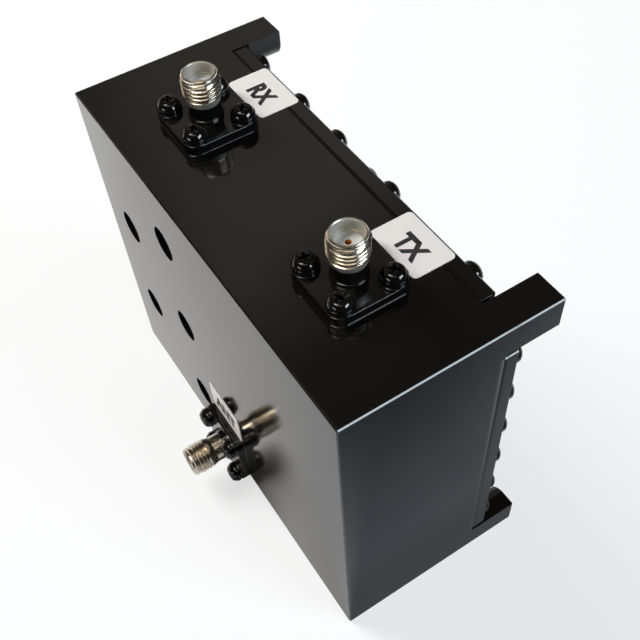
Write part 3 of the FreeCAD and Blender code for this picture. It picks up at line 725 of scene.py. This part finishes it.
# the three sockets
socketShape = {
    "flange": 12.7, "plate": 1.65, "corner": 2.0, "cornerSteps": 8, "edge": 0.14,
    "pooled": 0.18,  # lacquer run into the corners at the feet of flange and washers
    "poolSlope": [(1.0, 0.0), (0.62, 0.07), (0.34, 0.2), (0.14, 0.42), (0.0, 1.0)],
    "screwSpacing": 8.64, "ring": 2.84, "ringTop": 2.2, "neck": 2.6, "neckTop": 4.45,
    "collarBore": 1.5, "barrelBore": 1.6,  # hidden walls inside the neck and the barrel
    "bareFrom": 0.3,  # height above the ring from which the neck has a finish of its own
    "crest": 3.07, "core": 2.73, "pitch": 0.7056, "threadLow": 5.75, "threadHigh": 8.72,
    "cone": 2.97, "coneTop": 5.7, "leadLow": 9.0, "leadTop": 9.18, "lip": 2.72, "mouth": 9.65,
    "recess": 2.3, "recessFloor": 7.74, "insulator": 2.05,
    "contact": 0.635, "contactBore": 0.465, "contactTop": 7.66, "threadSteps": 48,
    "runOut": (0.1, 0.5),  # where the ridge is gone past its ends, and over what height it fades
    "poolSteps": 48, "collarSteps": 72, "barrelSteps": 96, "beadSteps": 64, "contactSteps": 40,
}


def pooledRing(inner, reach, height):  # a hollow corner of lacquer round a foot
    edge = inner + 0.004
    slope = [(edge + x * reach, height + z * reach) for x, z in socketShape["poolSlope"]]
    return lathe([(inner, height)] + slope, socketShape["poolSteps"])


def squareLoop(bm, half, corner, height):  # verts of a square with round corners
    loop = []
    steps = socketShape["cornerSteps"]
    for quarter in range(4):
        for step in range(steps + 1):
            angle = turn / 4 * (quarter + step / steps)
            side = half - corner
            x = (side if quarter in (0, 3) else -side) + corner * math.cos(angle)
            y = (side if quarter in (0, 1) else -side) + corner * math.sin(angle)
            loop.append(bm.verts.new((x * mm, y * mm, height * mm)))
    return loop


def makeSkirt(half, corner, reach):  # the same corner of lacquer round the flange
    bm = blank()
    slope = [(x * reach, z * reach) for x, z in socketShape["poolSlope"]]
    slope = [(-0.1, 0.0)] + slope + [(-0.1, reach)]
    loops = [squareLoop(bm, half + out, corner + out, height) for out, height in slope]
    for first, second in zip(loops, loops[1:] + loops[:1]):
        for i, vert in enumerate(first):
            j = (i + 1) % len(first)
            bm.faces.new((vert, first[j], second[j], second[i]))
    return tidyMesh(bm)


def makeFlange(s):
    bm = brick(s["flange"], s["flange"], s["plate"], s["plate"] / 2)
    upright = [e for e in bm.edges if abs(e.verts[0].co.z - e.verts[1].co.z) > 0.5 * mm]
    soften(bm, s["corner"], segments=6, edges=upright)
    soften(bm, s["edge"], degrees=60.0, segments=3)
    plate, neck, top, ring, ringTop = s["plate"], s["neck"], s["neckTop"], s["ring"], s["ringTop"]
    bore = s["collarBore"]
    profile = [
        (bore, plate - 0.3), (ring, plate - 0.3), (ring, ringTop - 0.16),
        (ring - 0.04, ringTop - 0.06), (ring - 0.12, ringTop), (neck + 0.04, ringTop + 0.02),
        (neck, ringTop + 0.08), (neck, top), (bore, top),
    ]
    pool = keep(pooledRing(washerShape["outer"], s["pooled"], plate), "pool")
    away = s["screwSpacing"] / 2 * mm
    places = [Matrix.Translation((x, y, 0)) for x in (-away, away) for y in (-away, away)]
    skirt = makeSkirt(s["flange"] / 2, s["corner"], s["pooled"])
    collar = lathe(profile, s["collarSteps"])
    bareFrom = (ringTop + s["bareFrom"]) * mm
    for face in collar.faces:  # the neck above its ring is bare on one of the sockets
        face.material_index = 1 if face.calc_center_median().z > bareFrom else 0
    return join(bm, collar, skirt, scatter(pool, places))


def makeThread(s):  # a ridge wound round the barrel, which runs out at both ends
    core, crest, pitch = s["core"], s["crest"], s["pitch"]
    low, high = s["threadLow"], s["threadHigh"]
    root = core - 0.12
    half = [(root, 0.47), (core, 0.44), (crest - 0.03, 0.12), (crest, 0.06)]
    section = [(r, -h) for r, h in half] + half[::-1]
    turns = (high - low) / pitch
    raised = [(r, low + h * pitch) for r, h in section]
    steps = round(turns * s["threadSteps"])
    ridge = screwed(raised, turn * turns, high - low, steps)
    past, run = s["runOut"]
    for vert in ridge.verts:
        height = vert.co.z / mm
        fade = min(1.0, (height - low + past) / run, (high + past - height) / run)
        fade = max(0.0, fade)
        radius = math.hypot(vert.co.x, vert.co.y) / mm
        scale = (root + (radius - root) * fade) / radius
        vert.co.x *= scale
        vert.co.y *= scale
    return ridge


def makeBarrel(s):
    core, lip, mouth, recess = [s[k] for k in ("core", "lip", "mouth", "recess")]
    cone, coneTop, leadLow, leadTop = [s[k] for k in ("cone", "coneTop", "leadLow", "leadTop")]
    neck, neckTop, bead, floor = s["neck"], s["neckTop"], s["insulator"], s["recessFloor"]
    bore = s["barrelBore"]
    profile = [
        (neck - 0.03, neckTop - 0.1), (neck - 0.02, neckTop), (neck + 0.02, neckTop + 0.05),
        (cone, coneTop), (core, coneTop + 0.14), (core, leadLow - 0.16), (cone, leadLow),
        (lip + 0.02, leadTop), (lip, leadTop + 0.03), (lip, mouth - 0.12), (lip - 0.12, mouth),
        (recess + 0.12, mouth), (recess, mouth - 0.14), (recess, floor + 0.02),
        (recess - 0.02, floor), (bead, floor), (bead, floor - 0.6), (bore, floor - 0.6),
        (bore, neckTop - 0.1),
    ]
    body = lathe(profile, s["barrelSteps"])
    for face in body.faces:
        middle = face.calc_center_median() / mm
        inside = math.hypot(middle.x, middle.y) < recess + 0.11 and middle.z > floor - 0.1
        onTaper = neckTop < middle.z < coneTop
        face.material_index = 1 if inside else 2 if onTaper else 0
    return join(body, makeThread(s))


def makeInsulator(s):
    floor, outer = s["recessFloor"], s["insulator"] - 0.01
    inner, start = s["contact"] + 0.02, s["contactTop"] + 0.01
    bore = s["contactBore"] + 0.01  # the bead's face laps over the contact's rim
    profile = [
        (bore, start), (bore, floor - 0.03), (bore + 0.04, floor), (outer - 0.05, floor),
        (outer, floor - 0.05), (outer, floor - 2.5), (inner, floor - 2.5), (inner, start),
    ]
    return lathe(profile, s["beadSteps"])


def makeContact(s):
    top, outer, bore = s["contactTop"], s["contact"], s["contactBore"]
    profile = [
        (0.0, top - 2.4), (bore, top - 2.2), (bore, top - 0.12), (bore + 0.07, top),
        (outer - 0.06, top), (outer, top - 0.08), (outer, top - 3.0), (0.0, top - 3.0),
    ]
    tube = keep(lathe(profile, s["contactSteps"], False), "tube")
    slit = keep(brick(3.0, 0.12, 2.4, top), "slit")
    return carve(tube, [slit], 0.0)


flangeBody = keep(makeFlange(socketShape), "flange")
barrelBody = keep(makeBarrel(socketShape), "barrel")
insulatorBody = keep(makeInsulator(socketShape), "insulator")
contactBody = makeContact(socketShape)

ports = {
    "rx": {"facing": upward, "metal": nickelUp, "word": "RX", "wordShift": (0.3, -0.4)},
    "tx": {"facing": upward, "metal": nickelUp, "word": "TX", "wordShift": (0.35, -0.5)},
    "ant": {"facing": faceOut, "metal": nickelOut, "word": "ANT", "wordShift": (0.0, 0.0)},
}


for port, facts in ports.items():
    facing, metal = facts["facing"], facts["metal"]
    prefix = port + "_connector_"
    tip, out = outerMiddle(*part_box(prefix + "shell"), facing)
    base = Matrix.Translation(tip - out * socketShape["mouth"] * mm) @ facing
    # the taper of the top sockets gets the darker nickel, which is painted shade; the side socket's
    # taper is plain metal
    neckFinish, coneMetalOrPaintedShade = (metal, metal) if port == "ant" else (paintSmall, nickelTaperPaintedShade)
    addPiece(
        port + "_flange", scatter(flangeBody, [base]), (paintSmall, neckFinish),
        [prefix + "shell"], sharpAt["plates"], True,
    )
    addPiece(
        port + "_barrel", scatter(barrelBody, [base]), (metal, nickelBore, coneMetalOrPaintedShade),
        [prefix + "shell"], sharpAt["turned"],
    )
    bead, contact = scatter(insulatorBody, [base]), scatter(contactBody, [base])
    addPiece(port + "_ptfe", bead, ptfe, [prefix + "insulator"], sharpAt["turned"])
    addPiece(port + "_contact", contact, gold, [prefix + "contact"], sharpAt["turned"])
    addRepeats(port + "_flange_washers", prefix + "washers", splitWasher, facing)
    addRepeats(port + "_flange_screws", prefix + "screws", flangeScrew, facing)
print("sockets made")


# stuck labels with their words
labelShape = {
    "corner": 0.75, "edge": 0.03, "wordHeight": 3.5, "narrow": 0.8, "bold": 0.05,
    "ink": (-0.01, 0.02),  # underside and top of the letters, from the film's face
}


def makeLabel(low, high, facing, word, wordShift):
    size = Vector([abs(v) for v in facing.to_3x3().inverted() @ (high - low)])
    bm = brick(*(size / mm))
    upright = [e for e in bm.edges if abs(e.verts[0].co.z - e.verts[1].co.z) > size.z / 2]
    soften(bm, labelShape["corner"], segments=8, edges=upright)
    soften(bm, labelShape["edge"], degrees=60.0)
    place = Matrix.Translation((low + high) / 2) @ facing
    bmesh.ops.transform(bm, matrix=place, verts=bm.verts)

    curve = bpy.data.curves.new("word", "FONT")
    curve.body = word
    curve.align_x = "CENTER"
    curve.align_y = "CENTER"
    curve.offset = labelShape["bold"]
    curve.extrude = 0.01
    curve.resolution_u = 4
    lettered = bpy.data.objects.new("word", curve)
    scene.collection.objects.link(lettered)
    graph = bpy.context.evaluated_depsgraph_get()
    flat = bpy.data.meshes.new_from_object(lettered.evaluated_get(graph))
    bpy.data.objects.remove(lettered)
    ink = blank()
    ink.from_mesh(flat)
    bmesh.ops.remove_doubles(ink, verts=ink.verts, dist=weld["word"])
    spanY = [v.co.y for v in ink.verts]
    spanX = [v.co.x for v in ink.verts]
    middle = Vector(((min(spanX) + max(spanX)) / 2, (min(spanY) + max(spanY)) / 2, 0))
    bmesh.ops.translate(ink, verts=ink.verts, vec=-middle)
    grow = labelShape["wordHeight"] * mm / (max(spanY) - min(spanY))
    under, over = labelShape["ink"]
    for vert in ink.verts:
        vert.co.x = vert.co.x * grow * labelShape["narrow"] + wordShift[0] * mm
        vert.co.y = vert.co.y * grow + wordShift[1] * mm
        vert.co.z = size.z / 2 + (over if vert.co.z > 0 else under) * mm
    bmesh.ops.transform(ink, matrix=place, verts=ink.verts)
    return bm, ink


for port, facts in ports.items():
    label, sharp = port + "_label", sharpAt["plates"]
    low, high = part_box(label)
    film, ink = makeLabel(low, high, facts["facing"], facts["word"], facts["wordShift"])
    addPiece(label + "_film", film, labelFilm, [label], sharp, True)
    addPiece(label + "_word", ink, labelInk, [label], sharp)
print("labels made")


# what stays from the CAD inside the block
for name, node in nodes.items():
    if not node.hide_render:
        node.data.materials.clear()
        node.data.materials.append(silver)
print("inner pieces finished")


# floor, lamps and surroundings
stageLook = {
    "floor": (0.93, 0.93, 0.93), "floorSize": 3.0, "lift": 0.7, "mirrored": 0.02,
    "paintedShadeSpan": (-0.05, 0.10),
    "paintedShadeInReflections": [  # painted shadow seen only in reflections: tones of the floor along X, mostly darker towards +X, over that span in m
        (0.17, (0.93, 0.93, 0.93)), (0.52, (0.69, 0.69, 0.69)), (0.62, (0.69, 0.69, 0.69)),
        (0.66, (0.91, 0.92, 0.93)), (0.72, (0.78, 0.80, 0.82)), (0.80, (0.48, 0.50, 0.52)),
        (0.88, (0.20, 0.22, 0.24)),
    ],
    "room": [  # tones of the dim room by how far a direction points to -X
        (0.42, (0.05, 0.036, 0.02)), (0.52, (0.10, 0.078, 0.05)),
        (0.62, (0.40, 0.375, 0.335)), (0.80, (0.25, 0.24, 0.20)),
    ],
    "corner": (0.03, 0.024, 0.02),  # the room beyond the pale wall, on both sides of it
    "wall": (0.10, 0.24, 0.47, 0.60),  # where along Y the wall starts, is full, ends and is gone
}
floorMesh = blank()
bmesh.ops.create_grid(floorMesh, x_segments=1, y_segments=1, size=stageLook["floorSize"])
floorObject = bpy.data.objects.new("paleFloor", keep(floorMesh, "paleFloor"))
scene.collection.objects.link(floorObject)
floorObject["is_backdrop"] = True
floorFinish, sheet = newFinish("paleFloor")
seen = sheet.node("ShaderNodeLightPath", out="Is Camera Ray")
mirrored = sheet.node("ShaderNodeLightPath", out="Is Glossy Ray")
# painted shadow: glossy rays see the floor darker along X, all other rays see its even colour
along = sheet.span(sheet.part(sheet.place(), "X"), 0.0, 1.0, *stageLook["paintedShadeSpan"])
paintedFloorShade = sheet.node("ShaderNodeValToRGB", {"stops": stageLook["paintedShadeInReflections"]}, {0: along})
tone = sheet.blend(mirrored, stageLook["floor"], paintedFloorShade)
matt = sheet.node("ShaderNodeBsdfDiffuse", None, {"Color": tone})
glow = sheet.node("ShaderNodeEmission", None, {"Color": (1.0, 1.0, 1.0, 1.0), "Strength": 1.0})
share = seen * stageLook["lift"] + mirrored * stageLook["mirrored"]
mixed = sheet.node("ShaderNodeMixShader", None, {0: share, 1: matt, 2: glow})
sheet.node("ShaderNodeOutputMaterial", None, {"Surface": mixed})
floorObject.data.materials.append(floorFinish)

world = bpy.data.worlds.new("surroundings")
world.use_nodes = True
scene.world = world
sheet = Sheet(world.node_tree)
way = sheet.node("ShaderNodeTexCoord", out="Generated")
leftward = -1.0 * sheet.part(way, "X")
backward = sheet.part(way, "Y")
starts, full, ends, gone = stageLook["wall"]
rising = sheet.span(backward, 0.0, 1.0, starts, full)
inWall = rising * sheet.span(backward, 1.0, 0.0, ends, gone)
shade = sheet.node("ShaderNodeValToRGB", {"stops": stageLook["room"]}, {0: leftward})
shade = sheet.blend(inWall, stageLook["corner"], shade)
seen = sheet.node("ShaderNodeLightPath", out="Is Camera Ray")
shade = sheet.blend(seen, shade, (1.0, 1.0, 1.0))
back = sheet.node("ShaderNodeBackground", None, {"Color": shade, "Strength": 1.0})
sheet.node("ShaderNodeOutputWorld", None, {"Surface": back})

lamps = {
    "keySoftbox": {
        "towards": (-0.74, -0.36, 0.62), "away": 0.75, "size": (0.42, 0.42), "power": 7.6,
        "tint": (1.0, 0.99, 0.985), "use": "diffuse",
    },
    "creamPanel": {
        "towards": (-0.05, -0.40, 0.91), "away": 1.2, "size": (0.5, 0.5), "power": 6.5,
        "tint": (1.0, 0.93, 0.80), "use": "glossy",
    },
    "rearLamp": {
        "towards": (0.17, -0.93, 0.26), "away": 1.2, "size": (0.6, 0.1), "power": 1.1,
        "tint": (1.0, 0.96, 0.90), "use": "glossy",
    },
    "dimCeiling": {
        "towards": (0.44, -0.26, 0.86), "away": 1.2, "size": (0.7, 0.4), "power": 1.1,
        "tint": (1.0, 0.93, 0.78), "use": "glossy",
    },
    "warmWall": {
        "towards": (-0.92, -0.39, 0.06), "away": 1.0, "size": (0.7, 0.5), "power": 0.6,
        "tint": (1.0, 0.82, 0.66), "use": "glossy",
    },
    "windowPaneLeft": {
        "towards": (0.836, 0.329, 0.438), "away": 1.2, "size": (0.34, 0.34), "power": 5.0,
        "tint": (0.76, 0.89, 1.0), "use": "both",
    },
    "windowPaneRight": {
        "towards": (0.703, 0.559, 0.438), "away": 1.2, "size": (0.30, 0.34), "power": 4.4,
        "tint": (0.76, 0.89, 1.0), "use": "both",
    },
}
aim = Vector((0.0, 0.0, 0.04))
for name, lamp in lamps.items():
    light = bpy.data.lights.new(name, "AREA")
    light.shape = "RECTANGLE"
    light.size, light.size_y = lamp["size"]
    light.energy = lamp["power"]
    light.color = lamp["tint"]
    holder = bpy.data.objects.new(name, light)
    scene.collection.objects.link(holder)
    way = Vector(lamp["towards"]).normalized()
    facingDown = way.to_track_quat("Z", "Y").to_matrix().to_4x4()
    holder.matrix_world = Matrix.Translation(aim + way * lamp["away"]) @ facingDown
    holder.visible_diffuse = lamp["use"] != "glossy"
    holder.visible_glossy = lamp["use"] != "diffuse"
    holder.visible_camera = False
scene.view_settings.view_transform = "Standard"
print("stage and lamps set")

low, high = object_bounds()
print("visual box", [round(v / mm, 2) for v in low], [round(v / mm, 2) for v in high])
